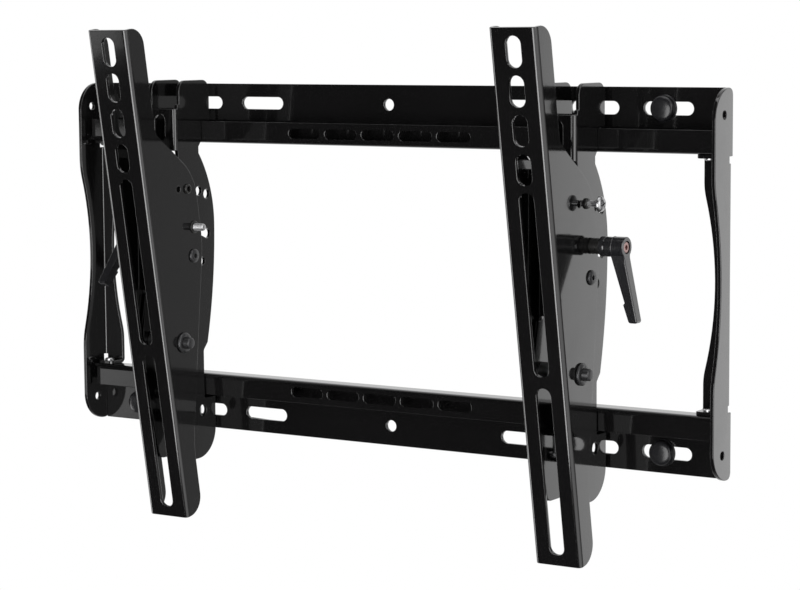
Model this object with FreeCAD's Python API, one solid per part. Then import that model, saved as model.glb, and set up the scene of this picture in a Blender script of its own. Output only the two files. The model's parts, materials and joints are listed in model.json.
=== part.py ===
import FreeCAD, Part
import math
import os

# Tilting wall bracket for a flat screen, in millimetres.
# X runs right along the wall, Y runs into the wall and Z runs up.
# The origin is the middle of the wall plate, on the plane of the wall.
# The wall plate is two folded rails between two folded end brackets. A hook bracket hangs on the rails
# on each side, slides along them, and carries a tilting arm that the screen is bolted to.

Vec = FreeCAD.Vector

# Folded sheet
sheet = 2.5
bend_inside = 1.0
bend_outside = bend_inside + sheet

# How far a cut runs past the face it starts from
overcut = 1.0

# Wall plate
plate_width = 490.0
rail_top = 119.2
rail_height = 39.9
rail_depth = 16.6
lip_height = 14.7
lip_end_gap = 3.0
slot_from_top = 13.0
slot_length = 33.6
slot_width = 8.2
wall_slot_x = (101.6, 152.4)
outer_slot_from_end = 41.8
centre_hole = 7.6
lip_slot_count = 5
lip_slot_pitch = 29.0
lip_slot_length = 25.0
lip_slot_width = 6.5

# End brackets
leg_depth = 24.3
leg_waist = 14.9
leg_waist_radius = 190.0
leg_blend_radius = 54.0
leg_front_round = 19.0
leg_rear_round = 4.5
leg_hole = 5.3
leg_hole_depth = 12.0
leg_hole_from_top = 16.2
flange_width = 17.8
flange_waist = 10.3
flange_waist_radius = 220.0
flange_blend_radius = 40.0
tab_width = 13.8
tab_depth = 14.0
tab_round = 3.0
relief_height = 4.2
relief_cut = 0.7
tab_rivet = 4.0
tab_rivet_head = 6.4
tab_rivet_height = 1.3
tab_rivet_edge = 0.6
tab_rivet_depth = 8.6

# Domed caps in the outer wall slots
cap_radius = 8.6
cap_skirt = 3.4
cap_height = 6.0
cap_wall = 1.3
cap_stem_play = 0.15
cap_stem_short = 0.3
cap_shift = {"left": -8.1, "right": -2.7}

# Where the two hook brackets hang, and how far forward each arm leans
hook_centre = {"left": -155.9, "right": 149.3}
tilt_at_rest = {"left": 9.7, "right": 9.6}
lever_swing = {"left": -28.0, "right": 0.0}

# Tilt
tilt_forward = 15.0
tilt_back = 5.0
pivot_y = -44.4
pivot_z = -54.7

# Hook bracket
hook_width = 25.6
hook_bend = 3.2
hang_gap = 0.3
lip_play = 0.4
finger_play = 0.5
finger_width = 6.2
finger_lift = 2.2
ear_rise = 2.8
ear_round = 7.0
lower_lip_play = 0.8
belly_gap = 3.3
belly_z = 23.2
belly_upper_radius = 82.0
belly_lower_radius = 350.0
belly_upper_drop = 6.8
belly_lower_drop = 21.3
foot_drop = 2.0
foot_height = 41.5
foot_wall_gap = 2.8
foot_heel_round = 20.0
foot_toe_round = 6.0
web_upper_low = 75.0
web_upper_high = 103.0
web_lower_low = -20.0
web_lower_high = 70.0
web_clearance = 1.3
web_upper_setback = 0.8
ear_setback = 4.3
web_relief = 3.0
pivot_margin = 9.6
nose_up = 9.7
nose_down = 15.3
nose_upper_round = 12.0
nose_lower_round = 20.0
web_hole_width = 8.4
web_hole_height = 18.5
web_hole_z = 90.3
padlock_hole = 7.6
padlock_hole_depth = 19.3
padlock_hole_drop = 8.4
lock_tab_front = 24.0
lock_tab_back = 6.0

# Arm
arm_gap = 1.0
arm_length = 336.4
arm_pivot_down = 217.0
arm_pivot_depth = 19.7
arm_flange = 17.4
arm_corner = 12.5
arm_bend = 3.0
arm_rear = 53.4
arm_shoulder = 72.0
arm_shoulder_round = 10.0
arm_bulge_round = 36.0
arm_taper_start = 155.0
arm_taper_end = 288.0
arm_taper_round = 80.0
arm_hole_width = 10.0
arm_oval_length = 19.2
arm_oval_pitch = 23.7
arm_oval_first = 5.0
arm_oval_count = 4
arm_long_slot = (99.7, 214.5)
arm_lower_slot_start = 221.5
arm_lower_slot_from_end = 6.9

# Pivot pin, its two push-on washers and the spacer tube between the hook bracket's plates
pin_diameter = 7.6
pin_play = 0.08
pin_stand = 7.5
washer_diameter = 14.0
washer_thick = 1.2
spacer_diameter = 12.0

# Edges taken off the ends of pins and screws, and off heads and rings
end_edge = 0.5
head_edge = 0.35

# Guide screws and the threaded spacer between them
guide_reach = 59.5
guide_angle = 21.9
guide_shank = 4.9
guide_head = 9.5
guide_head_height = 2.7
guide_head_flat = 4.7
guide_head_rim = 0.5
guide_length = 10.0
guide_socket = 3.0
guide_socket_depth = 1.6
guide_spacer = 9.0
guide_slot_play = 0.3

# Clamp stud with the lever handle
stud_reach = 78.8
stud_angle = 19.5
stud_diameter = 5.0
stud_stand = 8.7
stud_in_insert = 7.0
stud_slot_play = 0.7
collar_diameter = 8.5
collar_thick = 1.0
insert_gap = 0.1
insert_diameter = 9.4
insert_length = 15.0
insert_bore_play = 0.05
teeth_count = 20
teeth_tip = 10.2
teeth_root = 9.0
teeth_start = 12.2
teeth_play = 0.12
hub_play = 0.15
lever_start = 10.7
lever_step = 15.8
lever_top = 24.1
lever_head = 12.8
lever_neck = 12.3
lever_floor = 15.4
spring_seat = 16.8
counterbore = 8.0
lever_length = 46.0
lever_crank = 8.7
lever_root_drop = 5.1
lever_root_width = 9.3
lever_tip_width = 5.6
lever_root_depth = 8.1
lever_tip_depth = 6.5
lever_grip_length = 12.0
lever_grip_step = 0.8
lever_edge_round = 0.7
lever_tip_round = 1.6
screw_shank = 3.9
screw_play = 0.35
screw_head = 7.0
screw_head_height = 2.1
screw_socket = 3.0
screw_socket_depth = 1.6
screw_sink = 0.4
screw_end = 8.5
spring_diameter = 6.4
spring_wire = 0.6
spring_turns = 3

# Index screw, backed out of the hook bracket, and its clinch nuts
index_reach = 104.1
index_angle = 13.2
index_step = 5.0
index_count = 4
index_hole = 6.4
index_shank = 3.9
index_nut_bore = 4.0
index_nut_barrel = 5.8
index_nut_head = 7.0
index_nut_stand = 1.6
index_out = 9.0
index_head = 9.8
index_head_height = 3.0
index_head_flat = 3.2
index_head_rim = 0.8
index_tip_gap = 0.5

# Lock screw below the channel behind the lower rail's lip, backed out of it
lock_depth = 8.9
lock_shank = 4.9
lock_play = 0.05
lock_tip_gap = 0.5
lock_length = 17.0
lock_head = 9.0
lock_head_height = 3.2
lock_head_flat = 4.5
lock_head_rim = 1.1

# Places that follow from the sizes above
half_width = plate_width / 2
rail_half = half_width - sheet
outer_slot = half_width - outer_slot_from_end
ledge_low = rail_top - rail_height
ledge_top = ledge_low + sheet
lip_edge = ledge_low + lip_height
lip_back = sheet - rail_depth
tab_middle = half_width - flange_width + tab_width / 2
slot_line = rail_top - slot_from_top
hook_half = hook_width / 2
hook_inner = hook_half - sheet
arm_half = hook_half + arm_gap + sheet
arm_inner = arm_half - sheet
pivot = (pivot_y, pivot_z)
foot_top = -(lip_edge + foot_drop)
foot_low = foot_top - foot_height
ear_top = rail_top + ear_rise


def outline(corners, place):
    # A closed outline from corners (u, v, round, bow): round is the radius at the corner, and bow is
    # the signed radius of the edge that follows, positive where it swells to the right of the way round.
    points = [Vec(corner[0], corner[1], 0) for corner in corners]
    rounds = [corner[2] if len(corner) > 2 else 0 for corner in corners]
    bows = [corner[3] if len(corner) > 3 else 0 for corner in corners]
    count = len(points)
    arrive, leave, middle = [], [], []
    for i, point in enumerate(points):
        if not rounds[i]:
            arrive.append(point)
            leave.append(point)
            middle.append(None)
            continue
        back = (points[i - 1] - point).normalize()
        ahead = (points[(i + 1) % count] - point).normalize()
        half_angle = back.getAngle(ahead) / 2
        inward = (back + ahead).normalize()
        trim = rounds[i] / math.tan(half_angle)
        arrive.append(point + back * trim)
        leave.append(point + ahead * trim)
        middle.append(point + inward * (rounds[i] / math.sin(half_angle) - rounds[i]))
    edges = []
    for i in range(count):
        if middle[i]:
            edges.append(Part.Arc(place(arrive[i]), place(middle[i]), place(leave[i])).toShape())
        start, end = leave[i], arrive[(i + 1) % count]
        length = (end - start).Length
        if length < 1e-6:
            continue
        if bows[i]:
            along = (end - start).normalize()
            right = Vec(along.y, -along.x, 0)
            radius = abs(bows[i])
            rise = radius - math.sqrt(radius ** 2 - (length / 2) ** 2)
            top = (start + end) * 0.5 + right * math.copysign(rise, bows[i])
            edges.append(Part.Arc(place(start), place(top), place(end)).toShape())
        else:
            edges.append(Part.LineSegment(place(start), place(end)).toShape())
    return Part.Wire(edges)


def on_axis(axis, level):
    # Turns outline points into points of the plane across an axis: (y, z), (x, z) or (x, y).
    if axis == "x":
        return lambda p: Vec(level, p.x, p.y)
    if axis == "y":
        return lambda p: Vec(p.x, level, p.y)
    return lambda p: Vec(p.x, p.y, level)


def along(axis, length):
    return Vec(length if axis == "x" else 0, length if axis == "y" else 0, length if axis == "z" else 0)


def slab(corners, axis, low, high):
    # An outline given thickness along an axis, from low to high.
    return Part.Face(outline(corners, on_axis(axis, low))).extrude(along(axis, high - low))


def block(x, y, z):
    # A box between two values on each axis.
    return Part.makeBox(x[1] - x[0], y[1] - y[0], z[1] - z[0], Vec(x[0], y[0], z[0]))


def rod(axis, start, radius, length):
    return Part.makeCylinder(radius, length, start, along(axis, 1))


def slot(u, v, length, width, axis, low, high, upright=False):
    # A straight slot with round ends, centred on (u, v).
    half = (length - width) / 2
    radius = width / 2
    step = Vec(0, half, 0) if upright else Vec(half, 0, 0)
    side = Vec(radius, 0, 0) if upright else Vec(0, radius, 0)
    tip = Vec(0, radius, 0) if upright else Vec(radius, 0, 0)
    centre = Vec(u, v, 0)
    place = on_axis(axis, low)
    far, near = centre + step, centre - step
    wire = Part.Wire([
        Part.LineSegment(place(near - side), place(far - side)).toShape(),
        Part.Arc(place(far - side), place(far + tip), place(far + side)).toShape(),
        Part.LineSegment(place(far + side), place(near + side)).toShape(),
        Part.Arc(place(near + side), place(near - tip), place(near - side)).toShape(),
    ])
    return Part.Face(wire).extrude(along(axis, high - low))


def turned(corners):
    # A round piece on the X axis, from its half outline in (x, radius) corners.
    face = Part.Face(outline(corners, on_axis("z", 0)))
    return face.revolve(Vec(0, 0, 0), Vec(1, 0, 0), 360)


def around_pivot(reach, angle):
    # (y, z) at a reach from the pivot, at an angle from straight up, measured towards the wall.
    turn = math.radians(angle)
    return pivot[0] + reach * math.sin(turn), pivot[1] + reach * math.cos(turn)


def tilt_slot(reach, angle, half):
    # A slot through the hook bracket that follows a circle round the pivot, over the whole tilt, for a rod
    # that is at this angle when the arm is upright.
    first, last = angle - tilt_forward, angle + tilt_back

    def at(radius, degrees):
        return Vec(-hook_half, *around_pivot(radius, degrees))

    def end(degrees, outward):
        # The middle of the round end, half the width past the end of the arc.
        turn = math.radians(degrees)
        y, z = around_pivot(reach, degrees)
        return Vec(-hook_half, y + outward * half * math.cos(turn), z - outward * half * math.sin(turn))

    middle = (first + last) / 2
    wire = Part.Wire([
        Part.Arc(at(reach + half, first), at(reach + half, middle), at(reach + half, last)).toShape(),
        Part.Arc(at(reach + half, last), end(last, 1), at(reach - half, last)).toShape(),
        Part.Arc(at(reach - half, last), at(reach - half, middle), at(reach - half, first)).toShape(),
        Part.Arc(at(reach - half, first), end(first, -1), at(reach + half, first)).toShape(),
    ])
    return Part.Face(wire).extrude(Vec(2 * hook_half, 0, 0))


def hex_socket(across_flats, depth, top):
    # The hexagonal recess of a socket screw, cut from the head's top face at x = top.
    corner = across_flats / math.sqrt(3)
    angles = [math.radians(60 * i) for i in range(6)]
    corners = [(corner * math.cos(a), corner * math.sin(a)) for a in angles]
    return slab(corners, "x", top - depth, top + overcut)


def channel(half, thick, bend, front, depth, low, high):
    # A U folded from sheet, open towards the wall: its web is at the front, its sides run back.
    back = front + depth
    corners = [
        (-half, front, bend), (half, front, bend), (half, back), (half - thick, back),
        (half - thick, front + thick, bend - thick), (thick - half, front + thick, bend - thick),
        (thick - half, back), (-half, back),
    ]
    return slab(corners, "z", low, high)


def mirrored_z(shape):
    return shape.mirror(Vec(0, 0, 0), Vec(0, 0, 1))


def mirrored_x(shape):
    return shape.mirror(Vec(0, 0, 0), Vec(1, 0, 0))


def waisted_edge(outer, waist, waist_radius, blend_radius):
    # Three tangent arcs of an edge that pulls in at its middle: the height where the blend starts,
    # and the depth and height where it meets the waist.
    turn = math.acos(1 - (outer - waist) / (waist_radius + blend_radius))
    start = (waist_radius + blend_radius) * math.sin(turn)
    joint = waist_radius * math.sin(turn)
    depth = waist + waist_radius * (1 - math.cos(turn))
    return start, depth, joint


def rail():
    # The upper rail: band on the wall, ledge, and the upturned lip that the hook brackets hang on.
    section = [
        (0, rail_top), (-sheet, rail_top), (-sheet, ledge_top, bend_inside),
        (lip_back, ledge_top, bend_inside), (lip_back, lip_edge),
        (-rail_depth, lip_edge), (-rail_depth, ledge_low, bend_outside), (0, ledge_low, bend_outside),
    ]
    body = slab(section, "x", -rail_half, rail_half)
    cuts = []
    for side in (-1, 1):
        ends = sorted((side * (rail_half - lip_end_gap), side * (rail_half + overcut)))
        cuts.append(block(ends, (-rail_depth - overcut, lip_back + bend_inside), (0, rail_top)))
        for x in (*wall_slot_x, outer_slot):
            cuts.append(slot(side * x, slot_line, slot_length, slot_width, "y", -sheet - overcut, overcut))
        rivet_at = Vec(side * tab_middle, -tab_rivet_depth, ledge_low - overcut)
        cuts.append(rod("z", rivet_at, tab_rivet / 2, sheet + 2 * overcut))
    cuts.append(rod("y", Vec(0, -sheet - overcut, slot_line), centre_hole / 2, sheet + 2 * overcut))
    lip_middle = (ledge_low + lip_edge) / 2
    for i in range(lip_slot_count):
        x = (i - (lip_slot_count - 1) / 2) * lip_slot_pitch
        front, back = -rail_depth - overcut, lip_back + overcut
        cuts.append(slot(x, lip_middle, lip_slot_length, lip_slot_width, "y", front, back))
    return body.cut(cuts)


def end_bracket():
    # The right end bracket: a waisted leg at the end of the rails, folded to a waisted flange on the
    # wall, whose two ends are folded forward as tabs that the rails' ledges are riveted to.
    start, depth, joint = waisted_edge(leg_depth, leg_waist, leg_waist_radius, leg_blend_radius)
    tab_low = ledge_low - sheet
    notch_low = ledge_low - bend_outside - relief_height / 2
    notch_high = notch_low + relief_height
    notch = -(bend_outside + relief_cut)
    leg_outline = [
        (0, notch_high), (0, rail_top, leg_rear_round), (-leg_depth, rail_top, leg_front_round),
        (-leg_depth, start, 0, leg_blend_radius), (-depth, joint, 0, -leg_waist_radius),
        (-depth, -joint, 0, leg_blend_radius), (-leg_depth, -start),
        (-leg_depth, -rail_top, leg_front_round), (0, -rail_top, leg_rear_round), (0, -notch_high),
        (notch, -notch_high), (notch, -notch_low), (-bend_outside, -notch_low),
        (-bend_outside, notch_low), (notch, notch_low), (notch, notch_high),
    ]
    leg = slab(leg_outline, "x", rail_half, half_width)
    for side in (-1, 1):
        hole = Vec(rail_half - overcut, -leg_hole_depth, side * (rail_top - leg_hole_from_top))
        leg = leg.cut(rod("x", hole, leg_hole / 2, sheet + 2 * overcut))
    fold = [
        (half_width, -bend_outside), (half_width, 0, bend_outside), (0, 0), (0, -sheet),
        (rail_half, -sheet, bend_inside), (rail_half, -bend_outside),
    ]
    edge = half_width - flange_width
    start, depth, joint = waisted_edge(flange_width, flange_waist, flange_waist_radius, flange_blend_radius)
    flange_outline = [
        (half_width + overcut, -notch_low), (half_width + overcut, notch_low), (edge, notch_low),
        (edge, start, 0, flange_blend_radius), (half_width - depth, joint, 0, -flange_waist_radius),
        (half_width - depth, -joint, 0, flange_blend_radius), (edge, -start), (edge, -notch_low),
    ]
    flange = slab(fold, "z", -notch_low, notch_low)
    flange = flange.common(slab(flange_outline, "y", -bend_outside - overcut, overcut))
    tab_section = [
        (0, notch_low), (0, ledge_low, bend_outside), (-tab_depth, ledge_low), (-tab_depth, tab_low),
        (-sheet, tab_low, bend_inside), (-sheet, notch_low),
    ]
    tab_plan = [
        (edge, 0), (edge, -tab_depth, tab_round), (edge + tab_width, -tab_depth, tab_round),
        (edge + tab_width, 0),
    ]
    tab = slab(tab_section, "x", edge, edge + tab_width).common(slab(tab_plan, "z", 0, rail_top))
    tab = tab.cut(rod("z", Vec(tab_middle, -tab_rivet_depth, 0), tab_rivet / 2, rail_top))
    return leg.fuse([flange, tab, mirrored_z(tab)]).removeSplitter()


def rail_rivet():
    # Joins the upper rail's ledge to the right bracket's tab. Its closed end is under the tab.
    head = tab_rivet_head / 2
    grip = 2 * sheet
    top = grip + tab_rivet_height
    corners = [
        (-tab_rivet_height, 0), (top, 0), (top, head - tab_rivet_edge), (top - tab_rivet_edge, head),
        (grip, head), (grip, tab_rivet / 2), (0, tab_rivet / 2), (0, head),
        (tab_rivet_edge - tab_rivet_height, head), (-tab_rivet_height, head - tab_rivet_edge),
    ]
    body = turned(corners)
    body.rotate(Vec(0, 0, 0), Vec(0, 1, 0), -90)
    body.translate(Vec(tab_middle, -tab_rivet_depth, ledge_low - sheet))
    return body


def cap(x, z):
    # A domed cap on the rail's front. Its hollow stem sits in the wall slot.
    stem = slot_width / 2 - cap_stem_play
    bore = stem - cap_wall
    dome_rise = cap_height - cap_skirt
    dome = (cap_radius ** 2 + dome_rise ** 2) / (2 * dome_rise)
    body = turned([
        (cap_stem_short, bore), (sheet + cap_skirt - cap_wall, bore), (sheet + cap_skirt - cap_wall, 0),
        (sheet + cap_height, 0, 0, dome), (sheet + cap_skirt, cap_radius), (sheet, cap_radius),
        (sheet, stem), (cap_stem_short, stem),
    ])
    body.rotate(Vec(0, 0, 0), Vec(0, 0, 1), -90)
    body.translate(Vec(x, 0, z))
    return body


def hook_front(height, side):
    # How far forward the hook bracket may reach at a height: the inner face of the arm's web, at full
    # lean back above the pivot and at full lean forward below it, less the clearance.
    lean = math.radians(tilt_back if side > 0 else -tilt_forward)
    web = sheet - arm_pivot_depth
    return pivot_y + (web + (height - pivot_z) * math.sin(lean)) / math.cos(lean) + web_clearance


def arc_depth(radius, height):
    # How far from the wall the belly's arc is at a height above or below its deepest point.
    return -belly_gap - (radius - math.sqrt(radius ** 2 - height ** 2))


def hook_webs():
    # The front faces of the hook bracket's two webs, above and below.
    return hook_front(web_upper_high, 1) + web_upper_setback, hook_front(web_lower_high, 1)


def hook_plate():
    # One side plate of the hook bracket, in (y, z): the notch over the upper lip with the finger behind
    # it, the belly between the rails, the straight edge in front of the lower lip, and the foot.
    lip_front = -(rail_depth + lip_play)
    finger_front = lip_back + finger_play
    finger_rear = finger_front + finger_width
    finger_low = ledge_top + finger_lift
    lower_front = -(rail_depth + lower_lip_play)
    foot_rear = -(sheet + foot_wall_gap)
    belly_top = ledge_low - belly_upper_drop
    belly_low = belly_lower_drop - ledge_low
    belly_top_y = arc_depth(belly_upper_radius, belly_top - belly_z)
    belly_low_y = arc_depth(belly_lower_radius, belly_z - belly_low)
    upper_web, lower_web = hook_webs()
    ear_front = hook_front(ear_top, 1) + ear_setback
    nose = pivot_y - pivot_margin
    return [
        (hook_front(foot_low, -1), foot_low, foot_toe_round), (foot_rear, foot_low, foot_heel_round),
        (foot_rear, foot_top, bend_inside), (lower_front, foot_top, bend_inside),
        (lower_front, belly_low - 2 * sheet, sheet), (belly_low_y, belly_low, 0, belly_lower_radius),
        (-belly_gap, belly_z, 0, belly_upper_radius), (belly_top_y, belly_top),
        (belly_top_y, ledge_low - sheet), (lip_front, ledge_low + bend_inside),
        (lip_front, lip_edge + hang_gap), (finger_front, lip_edge + hang_gap),
        (finger_front, finger_low, bend_inside), (finger_rear, finger_low, bend_inside),
        (finger_rear, ear_top, ear_round), (ear_front, ear_top, ear_round),
        (ear_front, web_upper_high + web_relief), (upper_web + hook_bend, web_upper_high + web_relief),
        (upper_web + hook_bend, web_lower_high), (lower_web + hook_bend, web_lower_high),
        (lower_web + hook_bend, web_lower_low - web_relief), (lower_web, web_lower_low - web_relief),
        (nose, pivot_z + nose_up, nose_upper_round), (nose, pivot_z - nose_down, nose_lower_round),
    ]


def hook_bracket():
    plate = slab(hook_plate(), "x", hook_inner, hook_half)
    upper_web, lower_web = hook_webs()
    depth = hook_bend + overcut
    upper = channel(hook_half, sheet, hook_bend, upper_web, depth, web_upper_low, web_upper_high)
    lower = channel(hook_half, sheet, hook_bend, lower_web, depth, web_lower_low, web_lower_high)
    tab_depths = (-lock_tab_front, -lock_tab_back)
    lock_tab = block((-hook_inner, hook_inner), tab_depths, (foot_top - sheet, foot_top))
    body = plate.fuse([mirrored_x(plate), upper, lower, lock_tab])
    across = 2 * hook_half
    padlock_at = Vec(-hook_half, -padlock_hole_depth, foot_top - padlock_hole_drop)
    lock_at = Vec(0, -lock_depth, foot_top - sheet - overcut)
    stud_half = stud_diameter / 2 + stud_slot_play
    guide_half = guide_shank / 2 + guide_slot_play
    web_hole = slot(0, web_hole_z, web_hole_height, web_hole_width, "y",
                    upper_web - overcut, upper_web + sheet + overcut, upright=True)
    cuts = [
        web_hole,
        rod("x", padlock_at, padlock_hole / 2, across),
        rod("x", Vec(-hook_half, *pivot), pin_diameter / 2 + pin_play, across),
        rod("z", lock_at, lock_shank / 2 + lock_play, sheet + 2 * overcut),
        tilt_slot(stud_reach, stud_angle, stud_half),
        tilt_slot(guide_reach, guide_angle, guide_half),
    ]
    for i in range(index_count):
        angle = index_angle + tilt_back - i * index_step
        cuts.append(rod("x", Vec(-hook_half, *around_pivot(index_reach, angle)), index_hole / 2, across))
    return body.cut(cuts).removeSplitter()


def arm(tilt):
    # The tilting arm, folded as a channel, built upright and then leaned forward round the pivot.
    front = pivot_y - arm_pivot_depth
    top = pivot_z + arm_pivot_down
    flange, rear = front + arm_flange, front + arm_rear
    side = [
        (front, top - arm_length), (flange, top - arm_length, arm_corner),
        (flange, top - arm_taper_end, arm_taper_round), (rear, top - arm_taper_start, arm_taper_round),
        (rear, top - arm_shoulder - (arm_rear - arm_flange), arm_bulge_round),
        (flange, top - arm_shoulder, arm_shoulder_round), (flange, top, arm_corner), (front, top),
    ]
    body = channel(arm_half, sheet, arm_bend, front, arm_rear, top - arm_length, top)
    body = body.common(slab(side, "x", -arm_half - overcut, arm_half + overcut))
    ovals = [arm_oval_first + i * arm_oval_pitch for i in range(arm_oval_count)]
    slots = [(start, start + arm_oval_length) for start in ovals]
    slots += [arm_long_slot, (arm_lower_slot_start, arm_length - arm_lower_slot_from_end)]
    cuts = []
    for start, end in slots:
        middle = top - (start + end) / 2
        low, high = front - overcut, front + sheet + overcut
        cuts.append(slot(0, middle, end - start, arm_hole_width, "y", low, high, upright=True))
    holes = [
        (pivot, pin_diameter / 2), (around_pivot(guide_reach, guide_angle), guide_shank / 2),
        (around_pivot(stud_reach, stud_angle), stud_diameter / 2),
        (around_pivot(index_reach, index_angle), index_nut_barrel / 2),
        (around_pivot(index_reach, index_angle - index_step), index_nut_bore / 2 + pin_play),
    ]
    for place, radius in holes:
        cuts.append(rod("x", Vec(-arm_half, *place), radius, 2 * arm_half))
    body = body.cut(cuts).removeSplitter()
    body.rotate(Vec(0, *pivot), Vec(1, 0, 0), tilt)
    return body


def ring(inner, outer, low, high):
    # A plain ring on the X axis with its outer edge taken off at the high end.
    rim = outer - head_edge
    return turned([(low, inner), (high, inner), (high, rim), (high - head_edge, outer), (low, outer)])


def pivot_pin():
    end = arm_half + washer_thick + pin_stand
    radius = pin_diameter / 2
    return turned([
        (-end, 0), (end, 0), (end, radius - end_edge), (end - end_edge, radius),
        (end_edge - end, radius), (-end, radius - end_edge),
    ])


def guide_screw():
    # Button head on the arm's outer face, with its shank in the guide spacer.
    top = arm_half + guide_head_height
    head, shank = guide_head / 2, guide_shank / 2
    body = turned([
        (arm_half - guide_length, 0), (top, 0), (top, guide_head_flat / 2, 0, guide_head),
        (arm_half + guide_head_rim, head), (arm_half, head), (arm_half, shank),
        (arm_half - guide_length, shank),
    ])
    return body.cut(hex_socket(guide_socket, guide_socket_depth, top))


def clamp_stud():
    # A plain rod through both plates of the arm and into the handle's insert.
    low = -(arm_half + stud_stand)
    high = arm_half + stud_in_insert
    radius = stud_diameter / 2
    return turned([(low, 0), (high, 0), (high, radius), (low + end_edge, radius), (low, radius - end_edge)])


def toothed(tip, root, low, high):
    # A prism with sharp even teeth round the X axis.
    corners = []
    for i in range(2 * teeth_count):
        turn = math.pi * i / teeth_count
        radius = root if i % 2 else tip
        corners.append((radius * math.cos(turn), radius * math.sin(turn)))
    return slab(corners, "x", low, high)


def clamp_insert():
    # The handle's toothed insert, which screws down the stud to clamp the arm.
    bore = stud_diameter / 2 + insert_bore_play
    thread = screw_shank / 2 + insert_bore_play
    shoulder = arm_half + stud_in_insert + 2 * insert_bore_play + teeth_play
    low, high, teeth = arm_half + insert_gap, arm_half + insert_length, arm_half + teeth_start
    neck = insert_diameter / 2
    body = turned([
        (low, bore), (shoulder, bore), (shoulder, thread), (high, thread), (high, teeth_root / 2),
        (teeth, teeth_root / 2), (teeth, neck), (low, neck),
    ])
    crown = toothed(teeth_tip / 2, teeth_root / 2, teeth, high)
    crown = crown.cut(rod("x", Vec(low, 0, 0), thread, high))
    return body.fuse(crown).removeSplitter()


def clamp_lever():
    # The lever hangs down from its hub and is cranked away from the arm.
    base = arm_half
    neck, head = lever_neck / 2, lever_head / 2
    edge = lever_edge_round / 2
    hub = turned([
        (base + lever_start, 0), (base + lever_top, 0), (base + lever_top, head - edge),
        (base + lever_top - edge, head), (base + lever_step + edge, head), (base + lever_step, neck),
        (base + lever_start + edge, neck), (base + lever_start, neck - edge),
    ])
    root_low = base + lever_top - lever_root_width
    tip_high = base + lever_top + lever_crank
    tip_low = tip_high - lever_tip_width
    root = -lever_root_drop
    step = lever_grip_length - lever_length
    slope = (tip_low + lever_grip_step - root_low) / (root + lever_length)
    step_x = root_low + slope * (root - step)
    side = [
        (tip_low, -lever_length, lever_tip_round), (tip_high, -lever_length, lever_tip_round),
        (base + lever_top, root), (base + lever_top, 0), (root_low, 0), (root_low, root),
        (step_x, step), (step_x - lever_grip_step, step - lever_grip_step),
    ]
    tip, wide = lever_tip_depth / 2, lever_root_depth / 2
    width = [
        (-tip, -lever_length, lever_tip_round), (tip, -lever_length, lever_tip_round), (wide, 0), (-wide, 0),
    ]
    bar = slab(side, "y", -head, head).common(slab(width, "x", base, tip_high + overcut))
    long_edges = [one for one in bar.Edges if one.Length > lever_length / 2]
    bar = bar.makeFillet(lever_edge_round, long_edges)
    mouth = teeth_tip / 2 + hub_play
    recess_tip, recess_root = teeth_tip / 2 + teeth_play, teeth_root / 2 + teeth_play
    cuts = [
        rod("x", Vec(base, 0, 0), mouth, teeth_start + teeth_play),
        toothed(recess_tip, recess_root, base + lever_start, base + lever_floor),
        rod("x", Vec(base, 0, 0), screw_shank / 2 + screw_play, lever_top),
        rod("x", Vec(base + spring_seat, 0, 0), counterbore / 2, lever_top),
    ]
    return hub.fuse(bar).cut(cuts).removeSplitter()


def retaining_screw():
    # Holds the lever on the insert, sunk in the lever's end.
    top = arm_half + lever_top - screw_sink
    under = top - screw_head_height
    low = arm_half + screw_end
    head, shank = screw_head / 2, screw_shank / 2
    body = turned([
        (low, 0), (top, 0), (top, head - head_edge), (top - head_edge, head),
        (under, head), (under, shank), (low, shank),
    ])
    return body.cut(hex_socket(screw_socket, screw_socket_depth, top))


def lever_spring():
    # Pushes the lever down on the insert's teeth, from the screw head to the floor of the counterbore.
    wire = spring_wire / 2
    low = arm_half + spring_seat + wire
    high = arm_half + lever_top - screw_sink - screw_head_height - wire
    radius = spring_diameter / 2 - wire
    path = Part.makeHelix((high - low) / spring_turns, high - low, radius)
    corners = [(radius - wire, -wire), (radius + wire, -wire), (radius + wire, wire), (radius - wire, wire)]
    body = Part.Wire(path).makePipeShell([outline(corners, on_axis("y", 0))], True, True)
    body.rotate(Vec(0, 0, 0), Vec(0, 1, 0), 90)
    body.translate(Vec(low, 0, 0))
    return body


def index_nut():
    # A clinch nut in the arm's plate for the index screw.
    bore, barrel, head = index_nut_bore / 2, index_nut_barrel / 2, index_nut_head / 2
    top = arm_half + index_nut_stand
    return turned([
        (arm_inner, bore), (top, bore), (top, head - head_edge), (top - head_edge, head),
        (arm_half, head), (arm_half, barrel), (arm_inner, barrel),
    ])


def index_screw():
    # Backed out of the hook bracket's holes, with its head clear of the arm.
    under = arm_half + index_out
    top = under + index_head_height
    tip = hook_half + index_tip_gap
    head, shank = index_head / 2, index_shank / 2
    return turned([
        (tip, 0), (top, 0), (top, index_head_flat / 2, 0, index_head), (under + index_head_rim, head),
        (under, head), (under, shank), (tip + end_edge, shank), (tip, shank - end_edge),
    ])


def lock_screw():
    # Goes up through the hook bracket's tab, behind the lower rail's lip, so that the foot can't swing out.
    head, shank = lock_head / 2, lock_shank / 2
    body = turned([
        (-lock_head_height, 0), (lock_length, 0), (lock_length, shank - end_edge),
        (lock_length - end_edge, shank), (0, shank), (0, head), (lock_head_rim - lock_head_height, head),
        (-lock_head_height, lock_head_flat / 2),
    ])
    body.rotate(Vec(0, 0, 0), Vec(0, 1, 0), -90)
    body.translate(Vec(0, -lock_depth, -lip_edge - lock_tip_gap - lock_length))
    return body


def moved(shape, place, swing=0):
    # A piece turned about the X axis and taken to a (y, z) place.
    shape.rotate(Vec(0, 0, 0), Vec(1, 0, 0), swing)
    shape.translate(Vec(0, *place))
    return shape


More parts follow.
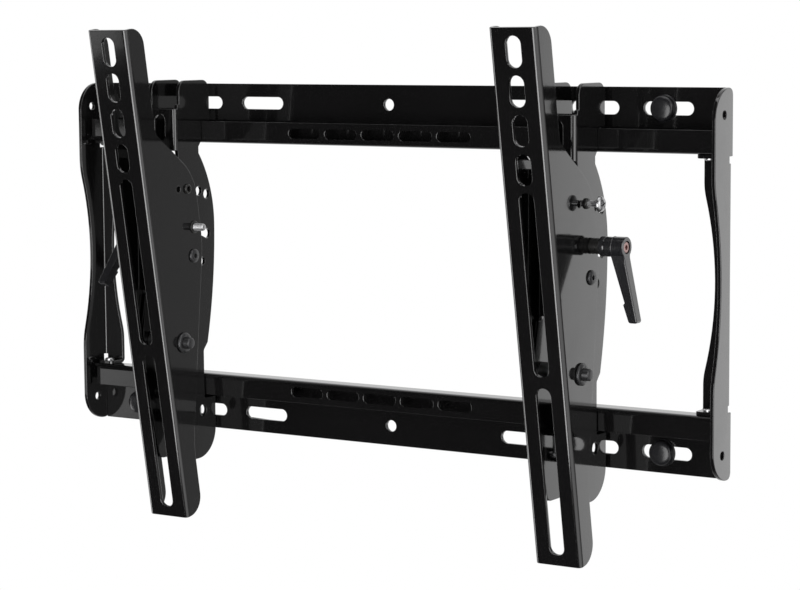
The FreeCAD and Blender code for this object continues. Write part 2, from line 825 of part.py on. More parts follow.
def one_side(tilt, swing):
    # Everything that hangs on the rails on one side, with its outer side towards +X.
    stud_place = around_pivot(stud_reach, stud_angle - tilt)
    guide_place = around_pivot(guide_reach, guide_angle - tilt)
    index_place = around_pivot(index_reach, index_angle - tilt)
    bore = pin_diameter / 2
    washer = ring(bore, washer_diameter / 2, arm_half, arm_half + washer_thick)
    collar = ring(stud_diameter / 2, collar_diameter / 2, arm_half, arm_half + collar_thick)
    pivot_spacer = ring(bore + pin_play, spacer_diameter / 2, -hook_inner, hook_inner)
    guide_tube = ring(guide_shank / 2, guide_spacer / 2, arm_gap - hook_inner, hook_inner - arm_gap)
    return {
        "hook_bracket": hook_bracket(),
        "pivot_spacer": moved(pivot_spacer, pivot),
        "lock_screw": lock_screw(),
        "arm": arm(tilt),
        "pivot_pin": moved(pivot_pin(), pivot),
        "outer_pivot_washer": moved(washer.copy(), pivot),
        "inner_pivot_washer": moved(mirrored_x(washer), pivot),
        "outer_guide_screw": moved(guide_screw(), guide_place),
        "inner_guide_screw": moved(mirrored_x(guide_screw()), guide_place),
        "guide_spacer": moved(guide_tube, guide_place),
        "outer_index_nut": moved(index_nut(), index_place),
        "inner_index_nut": moved(mirrored_x(index_nut()), index_place),
        "clamp_stud": moved(clamp_stud(), stud_place),
        "stud_collar": moved(mirrored_x(collar), stud_place),
        "clamp_insert": moved(clamp_insert(), stud_place, swing),
        "retaining_screw": moved(retaining_screw(), stud_place, swing),
        "lever_spring": moved(lever_spring(), stud_place, swing),
        "clamp_lever": moved(clamp_lever(), stud_place, swing),
        "index_screw": moved(index_screw(), index_place),
    }


pieces = {
    "upper_rail": rail(),
    "lower_rail": mirrored_z(rail()),
    "right_end_bracket": end_bracket(),
    "left_end_bracket": mirrored_x(end_bracket()),
    "upper_right_rivet": rail_rivet(),
    "upper_left_rivet": mirrored_x(rail_rivet()),
    "lower_right_rivet": mirrored_z(rail_rivet()),
    "lower_left_rivet": mirrored_x(mirrored_z(rail_rivet())),
}
for side in ("left", "right"):
    cap_x = (outer_slot if side == "right" else -outer_slot) + cap_shift[side]
    pieces["upper_" + side + "_cap"] = cap(cap_x, slot_line)
    pieces["lower_" + side + "_cap"] = cap(cap_x, -slot_line)
    for name, shape in one_side(tilt_at_rest[side], lever_swing[side]).items():
        placed = mirrored_x(shape) if side == "left" else shape
        placed.translate(Vec(hook_centre[side], 0, 0))
        pieces[side + "_" + name] = placed

os.makedirs("parts", exist_ok=True)
for name, shape in pieces.items():
    shape.exportStep("parts/%s.step" % name)
    print(name, len(shape.Solids), round(shape.Volume, 1), shape.isValid())
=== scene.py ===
import json
import math
import bpy
from mathutils import Euler, Matrix, Vector


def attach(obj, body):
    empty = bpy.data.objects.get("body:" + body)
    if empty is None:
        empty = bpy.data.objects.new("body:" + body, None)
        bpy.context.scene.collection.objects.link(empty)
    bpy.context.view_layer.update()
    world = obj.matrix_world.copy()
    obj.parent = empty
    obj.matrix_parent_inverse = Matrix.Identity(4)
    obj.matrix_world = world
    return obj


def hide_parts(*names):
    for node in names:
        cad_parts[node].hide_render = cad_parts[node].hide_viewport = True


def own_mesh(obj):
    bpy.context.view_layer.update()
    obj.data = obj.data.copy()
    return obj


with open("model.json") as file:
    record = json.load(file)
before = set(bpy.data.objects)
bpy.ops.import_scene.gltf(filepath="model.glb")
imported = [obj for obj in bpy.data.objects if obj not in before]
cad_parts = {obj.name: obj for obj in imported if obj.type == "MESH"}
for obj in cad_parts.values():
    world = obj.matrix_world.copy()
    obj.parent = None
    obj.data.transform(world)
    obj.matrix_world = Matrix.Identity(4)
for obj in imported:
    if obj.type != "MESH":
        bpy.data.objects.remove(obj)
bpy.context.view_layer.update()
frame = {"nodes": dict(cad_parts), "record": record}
nodes = frame["nodes"]
print("frame loaded,", len(nodes), "nodes")

sides = ("left", "right")


def selectNone():
    for one in bpy.context.selected_objects:
        one.select_set(False)


def selectOnly(piece):
    selectNone()
    piece.select_set(True)
    bpy.context.view_layer.objects.active = piece


def settle(piece):
    # the place of a finished piece goes into its mesh
    selectOnly(piece)
    bpy.ops.object.transform_apply(location=True, rotation=True, scale=True)


def applyAll(piece):
    selectOnly(piece)
    for modifier in list(piece.modifiers):
        bpy.ops.object.modifier_apply(modifier=modifier.name)


def smoothBy(piece, angle):
    selectOnly(piece)
    bpy.ops.object.shade_smooth_by_angle(angle=math.radians(angle))


# Shader sums

class Socket:
    def __init__(self, plug):
        self.plug = plug

    def node(self, kind, settings, values, output=0):
        tree = self.plug.id_data
        made = tree.nodes.new(kind)
        for name, value in settings.items():
            setattr(made, name, value)
        for name, value in values.items():
            if isinstance(value, Socket):
                tree.links.new(value.plug, made.inputs[name])
            else:
                made.inputs[name].default_value = value
        return Socket(made.outputs[output])

    def sum(self, operation, first, second):
        return self.node("ShaderNodeMath", {"operation": operation}, {0: first, 1: second})

    def __add__(self, other):
        return self.sum("ADD", self, other)

    def __radd__(self, other):
        return self.sum("ADD", other, self)

    def __sub__(self, other):
        return self.sum("SUBTRACT", self, other)

    def __rsub__(self, other):
        return self.sum("SUBTRACT", other, self)

    def __mul__(self, other):
        return self.sum("MULTIPLY", self, other)

    def __rmul__(self, other):
        return self.sum("MULTIPLY", other, self)

    def __truediv__(self, other):
        return self.sum("DIVIDE", self, other)

    def noise(self, scale, detail=2.0, rough=0.5):
        values = {"Vector": self, "Scale": scale, "Detail": detail, "Roughness": rough}
        return self.node("ShaderNodeTexNoise", {}, values)

    def cells(self, scale, settings):
        return self.node("ShaderNodeTexVoronoi", settings, {"Vector": self, "Scale": scale})

    def part(self, axis):
        # one of a vector's three parts
        return self.node("ShaderNodeSeparateXYZ", {}, {"Vector": self}, axis)

    def between(self, low, high):
        # 0 up to low, 1 from high on
        values = {"Value": self, "From Min": low, "From Max": high}
        return self.node("ShaderNodeMapRange", {"clamp": True}, values)

    def blend(self, first, second):
        # two colours mixed by this mask
        values = {0: self, 6: (*first, 1), 7: (*second, 1)}
        return self.node("ShaderNodeMix", {"data_type": "RGBA"}, values, 2)

    def link(self, shader, name):
        self.plug.id_data.links.new(self.plug, shader.inputs[name])


def newFinish(name, constants):
    # a material with its shader's fixed values, and the place on the piece
    finish = bpy.data.materials.new(name)
    finish.use_nodes = True
    shader = finish.node_tree.nodes["Principled BSDF"]
    for socket, value in constants.items():
        shader.inputs[socket].default_value = value
    place = Socket(finish.node_tree.nodes.new("ShaderNodeTexCoord").outputs["Object"])
    return finish, shader, place


def bumpInto(shader, height, strength, depth):
    values = {"Height": height, "Strength": strength, "Distance": depth}
    height.node("ShaderNodeBump", {}, values).link(shader, "Normal")


# Patterns are in waves or cells a metre, and depths in metres
paint = {
    "dark": (0.0037, 0.0036, 0.0037),
    "light": (0.0056, 0.0054, 0.0056),
    "roughness": 0.075,
    "coat": 0.25,
    "cloud": 14.0,
    "peel": 620.0,          # orange peel
    "grain": 2600.0,
    "specks": 240.0,        # dust under the paint
    "handled": 38.0,        # faint hazy marks
    "depth": 0.000011,
}


def glossBlackPaint():
    fixed = {"IOR": 1.5, "Coat Roughness": 0.03, "Coat IOR": 1.5}
    finish, shader, place = newFinish("glossBlackPaint", fixed)
    cloud = place.noise(paint["cloud"], 4.0)
    peel = place.noise(paint["peel"], 2.0, 0.45)
    grain = place.noise(paint["grain"], 1.0)
    specks = place.cells(paint["specks"], {}).between(0.055, 0.03)
    handled = place.noise(paint["handled"], 5.0, 0.62).between(0.52, 0.72)
    cloud.blend(paint["dark"], paint["light"]).link(shader, "Base Color")
    (paint["roughness"] + handled * 0.03 + cloud * 0.02 + specks * 0.12).link(shader, "Roughness")
    (paint["coat"] - handled * 0.06 - specks * 0.1).link(shader, "Coat Weight")
    bumpInto(shader, peel + grain * 0.12 + specks * 0.5, 0.5, paint["depth"])
    return finish


plastic = {
    "dark": (0.007, 0.007, 0.008),
    "light": (0.012, 0.012, 0.013),
    "roughness": 0.17,
    "cloud": 120.0,
    "grain": 3800.0,
    "depth": 0.00003,
}


def blackPlastic():
    finish, shader, place = newFinish("blackPlastic", {"IOR": 1.5, "Specular IOR Level": 0.3})
    cloud = place.noise(plastic["cloud"], 3.0)
    grain = place.noise(plastic["grain"], 2.0)
    cloud.blend(plastic["dark"], plastic["light"]).link(shader, "Base Color")
    (plastic["roughness"] + cloud * 0.08 + grain * 0.05).link(shader, "Roughness")
    bumpInto(shader, grain + cloud, 0.35, plastic["depth"])
    return finish


coating = {
    "dark": (0.008, 0.008, 0.009),
    "light": (0.013, 0.013, 0.014),
    "roughness": 0.13,
    "cloud": 90.0,
    "grain": 2100.0,
    "depth": 0.00003,
}


def blackLever():
    fixed = {"IOR": 1.5, "Coat Roughness": 0.1, "Coat Weight": 0.1}
    finish, shader, place = newFinish("blackLever", fixed)
    cloud = place.noise(coating["cloud"], 3.0)
    grain = place.cells(coating["grain"], {"feature": "SMOOTH_F1"})
    cloud.blend(coating["dark"], coating["light"]).link(shader, "Base Color")
    (coating["roughness"] + cloud * 0.06).link(shader, "Roughness")
    bumpInto(shader, grain + cloud * 0.3, 0.4, coating["depth"])
    return finish


turning = {
    "cloud": 160.0,                 # blotches of plating
    "rings": 900.0,                 # fine rings round X
    "squeeze": (9.0, 0.6, 0.6),
    "knocks": 1500.0,               # small knocks
    "depth": 0.00002,
}


def metal(name, dark, light, roughness, scratch, metallic=1.0):
    # turned or plated steel
    finish, shader, place = newFinish(name, {"Metallic": metallic})
    cloud = place.noise(turning["cloud"], 3.0)
    squeezed = place.node("ShaderNodeMapping", {}, {"Vector": place, "Scale": turning["squeeze"]})
    rings = squeezed.noise(turning["rings"], 3.0, 0.7)
    knocks = place.noise(turning["knocks"], 2.0).between(0.62, 0.75)
    (cloud * 0.7 + rings * 0.3).blend(dark, light).link(shader, "Base Color")
    (roughness + cloud * 0.08 + rings * scratch + knocks * 0.1).link(shader, "Roughness")
    bumpInto(shader, rings + knocks * 0.6, 0.35, turning["depth"])
    return finish


finishes = {
    "gloss_black_paint": glossBlackPaint(),
    "black_plastic": blackPlastic(),
    "black_steel": metal("blackSteel", (0.018, 0.018, 0.019), (0.05, 0.05, 0.052), 0.26, 0.1, 0.6),
    "black_oxide_steel": metal("blackOxide", (0.008, 0.008, 0.008), (0.022, 0.021, 0.020), 0.28, 0.12, 0.4),
    "black_lever": blackLever(),
    "zinc_plate": metal("zincPlate", (0.25, 0.25, 0.26), (0.40, 0.40, 0.40), 0.24, 0.12),
    "rivet_steel": metal("rivetSteel", (0.42, 0.42, 0.43), (0.62, 0.62, 0.62), 0.24, 0.14),
    "copper_screw": metal("copperScrew", (0.26, 0.15, 0.14), (0.46, 0.31, 0.29), 0.22, 0.12),
}
slotOf = {part["node"]: part["material_slot"] for part in frame["record"]["subparts"]}
bodies = frame["record"]["behaviour"]["bodies"]
bodyOf = {name: body for body, members in bodies.items() for name in members}


def wear(piece, slot):
    piece.data.materials.clear()
    piece.data.materials.append(finishes[slot])


for name, node in nodes.items():
    wear(node, slotOf[name])
print("finishes made")


# Folded sheet: each sheet piece with its cut edges rounded
sheet = {
    "edge": 0.00045,        # how far the edges of the cut sheet are rounded under the paint
    "short": 0.0001,        # shorter edges are merged, or the rounding throws out spikes there
    "merge": 0.000002,
    "flat": 0.6,            # faces that lie this near one plane, in degrees, become one
    "sharp": 50,
}


def foldedSheet(name):
    piece = bpy.data.objects.new(name + "_sheet", nodes[name].data.copy())
    bpy.context.scene.collection.objects.link(piece)
    selectOnly(piece)
    bpy.ops.object.mode_set(mode="EDIT")
    bpy.ops.mesh.select_all(action="SELECT")
    bpy.ops.mesh.remove_doubles(threshold=sheet["merge"])
    bpy.ops.mesh.dissolve_degenerate(threshold=sheet["short"])
    bpy.ops.mesh.dissolve_limited(angle_limit=math.radians(sheet["flat"]))
    bpy.ops.mesh.select_all(action="SELECT")
    bpy.ops.mesh.dissolve_degenerate(threshold=sheet["short"])
    bpy.ops.object.mode_set(mode="OBJECT")
    edge = piece.modifiers.new("edge", "BEVEL")
    edge.width = sheet["edge"]
    edge.segments = 3
    edge.limit_method = "ANGLE"
    edge.angle_limit = math.radians(sheet["sharp"])
    edge.use_clamp_overlap = False
    flat = piece.modifiers.new("flat", "WEIGHTED_NORMAL")       # keeps the flats flat
    flat.weight = 100
    flat.keep_sharp = True
    selectOnly(piece)
    bpy.ops.object.shade_smooth()
    applyAll(piece)
    wear(piece, slotOf[name])
    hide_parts(name)
    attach(piece, bodyOf[name])


sheetNames = ["upper_rail", "lower_rail", "left_end_bracket", "right_end_bracket"]
for side in sides:
    sheetNames += [side + "_hook_bracket", side + "_arm"]
for name in sheetNames:
    foldedSheet(name)
print("sheets folded")


# Turned pieces. Each is modelled once, along +X from the plate it stands on, and copied to its places
alongX = (0, math.radians(90), 0)


def box(name):
    points = [nodes[name].matrix_world @ vertex.co for vertex in nodes[name].data.vertices]
    low = Vector([min(point[i] for point in points) for i in range(3)])
    high = Vector([max(point[i] for point in points) for i in range(3)])
    return low, high


def centreOf(name):
    low, high = box(name)
    return (low + high) / 2


def turned(name, steps, around=48):
    # a disc at the first step's place, pushed along X and scaled to each next step: (place, radius)
    place, radius = steps[0]
    bpy.ops.mesh.primitive_circle_add(vertices=around, radius=radius, fill_type="NGON",
                                      location=(place, 0, 0), rotation=alongX)
    piece = bpy.context.active_object
    piece.name = name
    settle(piece)
    bpy.ops.object.mode_set(mode="EDIT")
    bpy.ops.mesh.select_all(action="SELECT")
    for nextPlace, nextRadius in steps[1:]:
        bpy.ops.mesh.extrude_region_move(TRANSFORM_OT_translate={"value": (nextPlace - place, 0, 0)})
        ratio = nextRadius / radius
        bpy.ops.transform.resize(value=(1, ratio, ratio), center_override=(nextPlace, 0, 0))
        place, radius = nextPlace, nextRadius
    bpy.ops.mesh.select_all(action="SELECT")
    bpy.ops.mesh.normals_make_consistent(inside=False)
    bpy.ops.object.mode_set(mode="OBJECT")
    return piece


def rounded(piece, width):
    edge = piece.modifiers.new("edge", "BEVEL")
    edge.width = width
    edge.segments = 2
    edge.limit_method = "ANGLE"
    edge.angle_limit = math.radians(40)
    applyAll(piece)
    smoothBy(piece, 40)


def carve(piece, cutter):
    cut = piece.modifiers.new("cut", "BOOLEAN")
    cut.operation = "DIFFERENCE"
    cut.solver = "EXACT"
    cut.object = cutter
    applyAll(piece)
    discard(cutter)


def rodBit(place, radius, reach, around=48):
    # a cutter along X that reaches as far to both sides of its place
    bpy.ops.mesh.primitive_cylinder_add(vertices=around, radius=radius, depth=2 * reach,
                                        location=(place, 0, 0), rotation=alongX)
    bit = bpy.context.active_object
    settle(bit)
    return bit


def join(pieces):
    selectNone()
    for piece in pieces:
        piece.select_set(True)
    bpy.context.view_layer.objects.active = pieces[0]
    bpy.ops.object.join()
    return pieces[0]


def wound(low, radius, wide, high, around, pitch, turns):
    # a section with that many corners wound round X, closed at its ends
    bpy.ops.mesh.primitive_circle_add(vertices=around, radius=1, fill_type="NOTHING", location=(0, 0, 0))
    coil = bpy.context.active_object
    coil.scale = (wide, high, 1)
    bpy.ops.object.transform_apply(location=False, rotation=False, scale=True)
    coil.location = (low, radius, 0)
    settle(coil)
    wind = coil.modifiers.new("wind", "SCREW")
    wind.axis = "X"
    wind.screw_offset = pitch
    wind.iterations = turns
    wind.steps = wind.render_steps = 20
    wind.use_merge_vertices = False
    applyAll(coil)
    bpy.ops.object.mode_set(mode="EDIT")
    bpy.ops.mesh.select_all(action="SELECT")
    bpy.ops.mesh.fill_holes(sides=around)
    bpy.ops.mesh.select_all(action="SELECT")
    bpy.ops.mesh.normals_make_consistent(inside=False)
    bpy.ops.object.mode_set(mode="OBJECT")
    return coil


def threaded(low, high, radius, pitch):
    # the ridge of a screw thread, its point outward
    deep = 0.4 * pitch
    return wound(low, radius - deep, pitch * 0.55, deep, 3, pitch, max(1, int((high - low) / pitch)))


def standing(model, name, place, turn, slot):
    # the model's own copy at its place, turned about Z
    piece = bpy.data.objects.new(name, model.data.copy())
    bpy.context.scene.collection.objects.link(piece)
    piece.location = place
    piece.rotation_euler = (0, 0, math.radians(turn))
    settle(piece)
    wear(piece, slot)
    return piece


def copied(model, name, place, turn, node, slot):
    # the same, for the node it stands for
    piece = standing(model, name, place, turn, slot)
    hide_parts(node)
    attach(piece, bodyOf[node])
    return piece


def discard(model):
    bpy.data.objects.remove(model)


def armFaces(side):
    # X of the arm's outer and inner faces, and the turn that points a model outward
    low, high = box(side + "_arm")
    if side == "right":
        return high.x, low.x, 0
    return low.x, high.x, 180


def toBothFaces(model, kind, slot):
    # one copy on the outer and one on the inner face of each arm
    for side in sides:
        outer, inner, turn = armFaces(side)
        for place, face, way in ((outer, "outer", turn), (inner, "inner", 180 - turn)):
            node = side + "_" + face + "_" + kind
            middle = centreOf(node)
            copied(model, node + "_turned", (place, middle.y, middle.z), way, node, slot)


# Domed caps on the rails' fronts, each with its hollow stem behind
cap = {
    "height": 0.006,
    "stem": 0.00395,
    "bore": 0.00265,
    "back": -0.0022,
    "floor": 0.0021,
    "skirt": [(0, 1), (0.0009, 1), (0.0012, 0.92), (0.0034, 0.91)],       # metres, and shares of the brim
    "dome": [(0.72, 0.885), (0.83, 0.82), (0.9, 0.73), (0.95, 0.58), (0.985, 0.36), (1, 0.1)],
}
capLow, capHigh = box("upper_right_cap")
brim = (capHigh.z - capLow.z) / 2
steps = [(cap["floor"], cap["bore"]), (cap["back"], cap["bore"]), (cap["back"], cap["stem"])]
steps += [(0, cap["stem"])] + [(up, brim * out) for up, out in cap["skirt"]]
steps += [(cap["height"] * up, brim * out) for up, out in cap["dome"]]
model = turned("cap", steps, 64)
rounded(model, 0.0002)
for level in ("upper", "lower"):
    for side in sides:
        name = level + "_" + side + "_cap"
        middle = centreOf(name)
        front = box(name)[0].y
        place = (middle.x, front + cap["height"], middle.z)
        copied(model, name + "_dome", place, -90, name, "black_plastic")
discard(model)
print("caps on")

# Pivot pins, from the arm's middle, and their push-on washers
armLow, armHigh = box("right_arm")
half = (armHigh.x - armLow.x) / 2
pin = {"radius": 0.0038, "stand": 0.0068, "tip": 0.0007}
reach = half + pin["stand"]
model = turned("pin", [(-reach, pin["radius"] - pin["tip"]), (pin["tip"] - reach, pin["radius"]),
                       (reach - pin["tip"], pin["radius"]), (reach, pin["radius"] - pin["tip"])])
rounded(model, 0.0002)
for side in sides:
    middle = centreOf(side + "_pivot_pin")
    copied(model, side + "_pivot_pin_turned", (centreOf(side + "_arm").x, middle.y, middle.z), 0,
           side + "_pivot_pin", "black_steel")
discard(model)

washer = {"radius": 0.007, "thick": 0.0020, "bore": 0.0039, "cut": 0.01}
model = turned("washer", [(0, washer["radius"] * 0.96), (0.0005, washer["radius"]),
                          (0.0011, washer["radius"]), (0.0017, washer["radius"] * 0.95),
                          (washer["thick"], washer["radius"] * 0.86)])
carve(model, rodBit(0, washer["bore"], washer["cut"]))
rounded(model, 0.00015)
toBothFaces(model, "pivot_washer", "black_steel")
discard(model)

# Guide screws, low heads with a hexagon socket measured over its flats
guide = {"head": 0.0047, "top": 0.0016, "shank": 0.00245, "length": 0.010, "socket": 0.003, "deep": 0.0011}
model = turned("guide", [(-guide["length"], guide["shank"]), (0, guide["shank"]), (0, guide["head"]),
                         (0.0007, guide["head"]), (0.0012, guide["head"] * 0.96),
                         (guide["top"], guide["head"] * 0.84)])
rounded(model, 0.00018)
carve(model, rodBit(guide["top"], guide["socket"] / math.sqrt(3), guide["deep"], 6))
toBothFaces(model, "guide_screw", "black_steel")
discard(model)

# Clinch nuts for the index screws
nut = {"radius": 0.0033, "barrel": 0.0029, "stand": 0.0016, "bore": 0.002, "sheet": 0.0024, "cut": 0.01}
model = turned("nut", [(-nut["sheet"], nut["barrel"]), (0, nut["barrel"]), (0, nut["radius"]),
                       (nut["stand"] * 0.7, nut["radius"]), (nut["stand"], nut["radius"] * 0.86)])
carve(model, rodBit(0, nut["bore"], nut["cut"]))
rounded(model, 0.00015)
toBothFaces(model, "index_nut", "black_oxide_steel")
discard(model)

# Index screws: pan head with a cross recess, on a threaded shank
index = {
    "under": 0.009,
    "high": 0.003,
    "head": 0.0049,
    "shank": 0.0017,
    "thread": 0.00195,
    "pitch": 0.0007,
    "recess": 0.0056,
    "slot": 0.00095,
    "deep": 0.0015,
    "cross": (20, 110),         # the two slots' turns, in degrees
}
tip = box("right_index_screw")[0].x - armHigh.x
top = index["under"] + index["high"]
model = turned("index", [(tip, index["shank"] * 0.7), (tip + 0.0005, index["shank"]),
                         (index["under"], index["shank"]), (index["under"], index["head"]),
                         (index["under"] + 0.0009, index["head"]),
                         (top - 0.0013, index["head"] * 0.93), (top - 0.0006, index["head"] * 0.76),
                         (top - 0.00015, index["head"] * 0.45), (top, index["head"] * 0.1)])
rounded(model, 0.00015)
for across in index["cross"]:
    bpy.ops.mesh.primitive_cube_add(size=1, location=(top, 0, 0), rotation=(math.radians(across), 0, 0),
                                    scale=(2 * index["deep"], index["slot"], index["recess"]))
    bit = bpy.context.active_object
    settle(bit)
    carve(model, bit)
model = join([model, threaded(tip + 0.0007, index["under"] - 0.0002, index["thread"], index["pitch"])])
smoothBy(model, 40)
for side in sides:
    outer, inner, turn = armFaces(side)
    middle = centreOf(side + "_index_screw")
    copied(model, side + "_index_screw_turned", (outer, middle.y, middle.z), turn,
           side + "_index_screw", "zinc_plate")
discard(model)
print("screws in")

# Clamp studs, threaded where they stand out of the arm's inner face, and the collars there
stud = {"core": 0.0022, "radius": 0.0025, "out": 0.0087, "in": 0.007, "tip": 0.0005, "pitch": 0.0008}
end = -half - stud["out"]
model = turned("stud", [(end, stud["core"] * 0.8), (end + stud["tip"], stud["core"]), (-half, stud["core"]),
                        (-half, stud["radius"]), (half + stud["in"], stud["radius"])])
rounded(model, 0.0001)
model = join([model, threaded(end + 0.0006, -half, stud["radius"], stud["pitch"])])
smoothBy(model, 40)
ring = {"radius": 0.00425, "edge": 0.0039, "side": 0.0007, "thick": 0.001, "cut": 0.01}
collar = turned("collar", [(0, ring["radius"]), (ring["side"], ring["radius"]),
                           (ring["thick"], ring["edge"])])
carve(collar, rodBit(0, stud["radius"], ring["cut"]))
rounded(collar, 0.00015)
for side in sides:
    outer, inner, turn = armFaces(side)
    middle = centreOf(side + "_clamp_stud")
    copied(model, side + "_clamp_stud_turned", (centreOf(side + "_arm").x, middle.y, middle.z), turn,
           side + "_clamp_stud", "zinc_plate")
    copied(collar, side + "_stud_collar_turned", (inner, middle.y, middle.z), 180 - turn,
           side + "_stud_collar", "black_oxide_steel")
discard(model)
discard(collar)

# Clamp handles: the lever's skirt and bead, and two ribs on the insert
trims = {
    "skirt": {
        "steps": [(0.0069, 0.0059), (0.0073, 0.00615), (0.0109, 0.00615)],
        "bore": 0.0052,
        "edge": 0.0002,
        "on": "_clamp_lever",
        "slot": "black_lever",
    },
    "bead": {
        "steps": [(0.0154, 0.0062), (0.0157, 0.0066), (0.0161, 0.0066), (0.0164, 0.0063)],
        "bore": 0.0056,
        "edge": 0.00015,
        "on": "_clamp_lever",
        "slot": "black_lever",
    },
    "ribs": {
        "steps": [(0.0008, 0.0047), (0.0009, 0.005), (0.0017, 0.005), (0.0018, 0.00475), (0.0036, 0.00475),
                  (0.0037, 0.005), (0.0043, 0.005), (0.0044, 0.0047)],
        "bore": 0.0046,
        "edge": 0,
        "on": "_clamp_insert",
        "slot": "black_oxide_steel",
    },
}
shapes = {}
for name, trim in trims.items():
    shapes[name] = turned(name, trim["steps"], 64)
    carve(shapes[name], rodBit(0, trim["bore"], 0.06))
    if trim["edge"]:
        rounded(shapes[name], trim["edge"])
for side in sides:
    outer, inner, turn = armFaces(side)
    middle = centreOf(side + "_clamp_stud")
    for name, trim in trims.items():
        place = (outer, middle.y, middle.z)
        piece = standing(shapes[name], side + "_clamp_" + name, place, turn, trim["slot"])
        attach(piece, bodyOf[side + trim["on"]])
for shape in shapes.values():
    discard(shape)

# Springs in the levers' ends, from the floor of the hollow to the screw's head, wound at rest. A pulled
# lever closes them; these coils stay as wound
spring = {
    "low": 0.0168,
    "high": 0.0216,
    "radius": 0.0029,
    "wire": 0.00028,        # half the wire's thickness
    "turns": 3,
    "pull": 0.0029,
    "spare": 0.01,
}
wire = spring["wire"]
room = spring["high"] - spring["low"]
pitch = (room - 2 * wire) / spring["turns"]
model = wound(spring["low"] + wire, spring["radius"], wire, wire, 12, pitch, spring["turns"])
smoothBy(model, 40)
for side in sides:
    outer, inner, turn = armFaces(side)
    middle = centreOf(side + "_clamp_stud")
    piece = copied(model, side + "_lever_spring_wound", (outer, middle.y, middle.z), turn,
                   side + "_lever_spring", "zinc_plate")
    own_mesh(piece)
discard(model)
print("handles trimmed")


# Studio: white floor and backdrop. They glow only where the paint mirrors them, a painted reflection: white
# behind the object, brightest on the right, dim past that and dark on the camera's side
studio = {
    "size": 24,
    "floor": -1.25,
    "backdrop": 6.0,
    "panel": 2.05,                # brightest part, where the end bracket's leg looks
    "panelFrom": (0.28, 0.4),     # metres to the right for each metre back: from, and fully there
    "panelTo": (0.49, 0.72),      # and where it starts to dim and has dimmed
    "shade": 0.33,
    "far": (1.3, 3.0),            # and where it grows lighter again
    "farLift": 0.6,
    "front": 0.006,
    "floorFade": (-0.4, 1.2),
    "worldFade": (-0.15, 0.35),
    "right": 1.8,                 # painted reflection, brighter on the right, on the floor and backdrop and in the world light
    "rightFloor": (0.9, 1.8),
    "rightWorld": (0.4, 0.7),
    "fill": 0.42,                 # even light from all round
}


def seenAs(tree):
    # Light Path: what the camera sees, and what reflections and glass see
    path = tree.nodes.new("ShaderNodeLightPath")
    camera = Socket(path.outputs["Is Camera Ray"])
    mirrored = Socket(path.outputs["Is Glossy Ray"]) + Socket(path.outputs["Is Transmission Ray"])
    return camera, mirrored * (1 - camera)


def whiteSurface(name, place, turn):
    bpy.ops.mesh.primitive_plane_add(size=studio["size"], location=place, rotation=turn)
    surface = bpy.context.active_object
    surface.name = name
    settle(surface)
    finish, shader, spot = newFinish(name, {"Base Color": (0.8, 0.8, 0.8, 1), "Roughness": 0.9})
    tree = finish.node_tree
    camera, mirrored = seenAs(tree)
    # painted reflection: the floor and backdrop glow like lamps, but only for reflections
    glow = tree.nodes.new("ShaderNodeEmission")
    across = spot.part(0)
    deep = spot.part(1)
    slant = across / deep
    lift = slant.between(*studio["panelFrom"]) * (studio["panel"] - 1) + 1
    past = slant.between(*studio["panelTo"])
    bright = lift * (1 - past) + past * studio["shade"] + slant.between(*studio["far"]) * studio["farLift"]
    behind = deep.between(*studio["floorFade"])
    right = across.between(*studio["rightFloor"]) * studio["right"]
    reflected = bright * behind + (1 - behind) * (right + studio["front"])
    (camera + mirrored * reflected).link(glow, "Strength")
    mixed = tree.nodes.new("ShaderNodeMixShader")
    (camera + mirrored).link(mixed, 0)
    tree.links.new(shader.outputs[0], mixed.inputs[1])
    tree.links.new(glow.outputs[0], mixed.inputs[2])
    tree.links.new(mixed.outputs[0], tree.nodes["Material Output"].inputs["Surface"])
    surface.data.materials.append(finish)


whiteSurface("floor", (0, 0, studio["floor"]), (0, 0, 0))
whiteSurface("backdrop", (0, studio["backdrop"], 0), (math.radians(90), 0, 0))

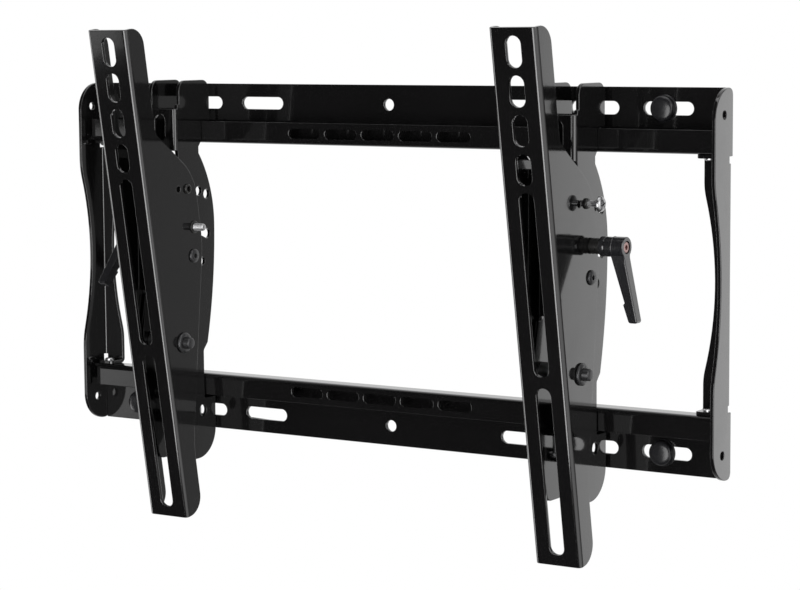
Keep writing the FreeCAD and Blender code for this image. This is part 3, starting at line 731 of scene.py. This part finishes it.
world = bpy.data.worlds.new("studio")
bpy.context.scene.world = world
world.use_nodes = True
tree = world.node_tree
seenByCamera, mirrored = seenAs(tree)
direction = Socket(tree.nodes.new("ShaderNodeTexCoord").outputs["Generated"])
back = direction.part(1).between(*studio["worldFade"])
right = direction.part(0).between(*studio["rightWorld"])
reflected = mirrored * (back + (1 - back) * (right * studio["right"] + studio["front"]))
background = tree.nodes["Background"]
(seenByCamera + reflected + (1 - seenByCamera - mirrored) * studio["fill"]).link(background, "Strength")
background.inputs["Color"].default_value = (1, 1, 1, 1)

# Each softbox's place, the point that it is aimed at, its width and height, and its watts
softboxes = {
    "top": [(0.2, -0.3, 1.7), (0, 0, 0), (1.6, 1.2), 14],
    "right": [(2.2, -0.9, 0.5), (0, 0, 0), (0.9, 1.6), 14],
    "front": [(0.16, -1.8, -0.38), (0.16, 0, -0.38), (0.9, 1.34), 30],
    "leftCard": [(-1.918, -1.956, -0.285), (-0.235, -0.04, -0.285), (0.28, 0.55), 0.63],
    "left": [(-2.2, -0.8, -0.6), (0, 0, -0.1), (0.9, 1.3), 16],
}
for name, (place, aim, size, watts) in softboxes.items():
    bpy.ops.object.light_add(type="AREA", location=place)
    lamp = bpy.context.active_object
    lamp.name = name
    lamp.data.shape = "RECTANGLE"
    lamp.data.size, lamp.data.size_y = size
    lamp.data.energy = watts
    lamp.rotation_euler = (Vector(aim) - Vector(place)).to_track_quat("-Z", "Y").to_euler()
    lamp.visible_camera = False
print("studio lit")

# The photograph's camera, in metres and degrees, its lens and sensor in millimetres
shot = {
    "place": (0.8717, -1.3455, 0.1566),
    "yaw": 32.754,
    "down": 6.255,
    "roll": -0.419,
    "lens": 109.98,
    "sensor": 36,
    "farthest": 100,
}
bpy.ops.object.camera_add(location=shot["place"])
camera = bpy.context.active_object
look = Euler((math.radians(90 - shot["down"]), 0, math.radians(shot["yaw"]))).to_matrix()
camera.rotation_euler = (look @ Matrix.Rotation(math.radians(shot["roll"]), 3, "Z")).to_euler()
camera.data.sensor_width = shot["sensor"]
camera.data.lens = shot["lens"]
camera.data.clip_end = shot["farthest"]
bpy.context.scene.camera = camera
bpy.context.scene.view_settings.view_transform = "Standard"

print("done")
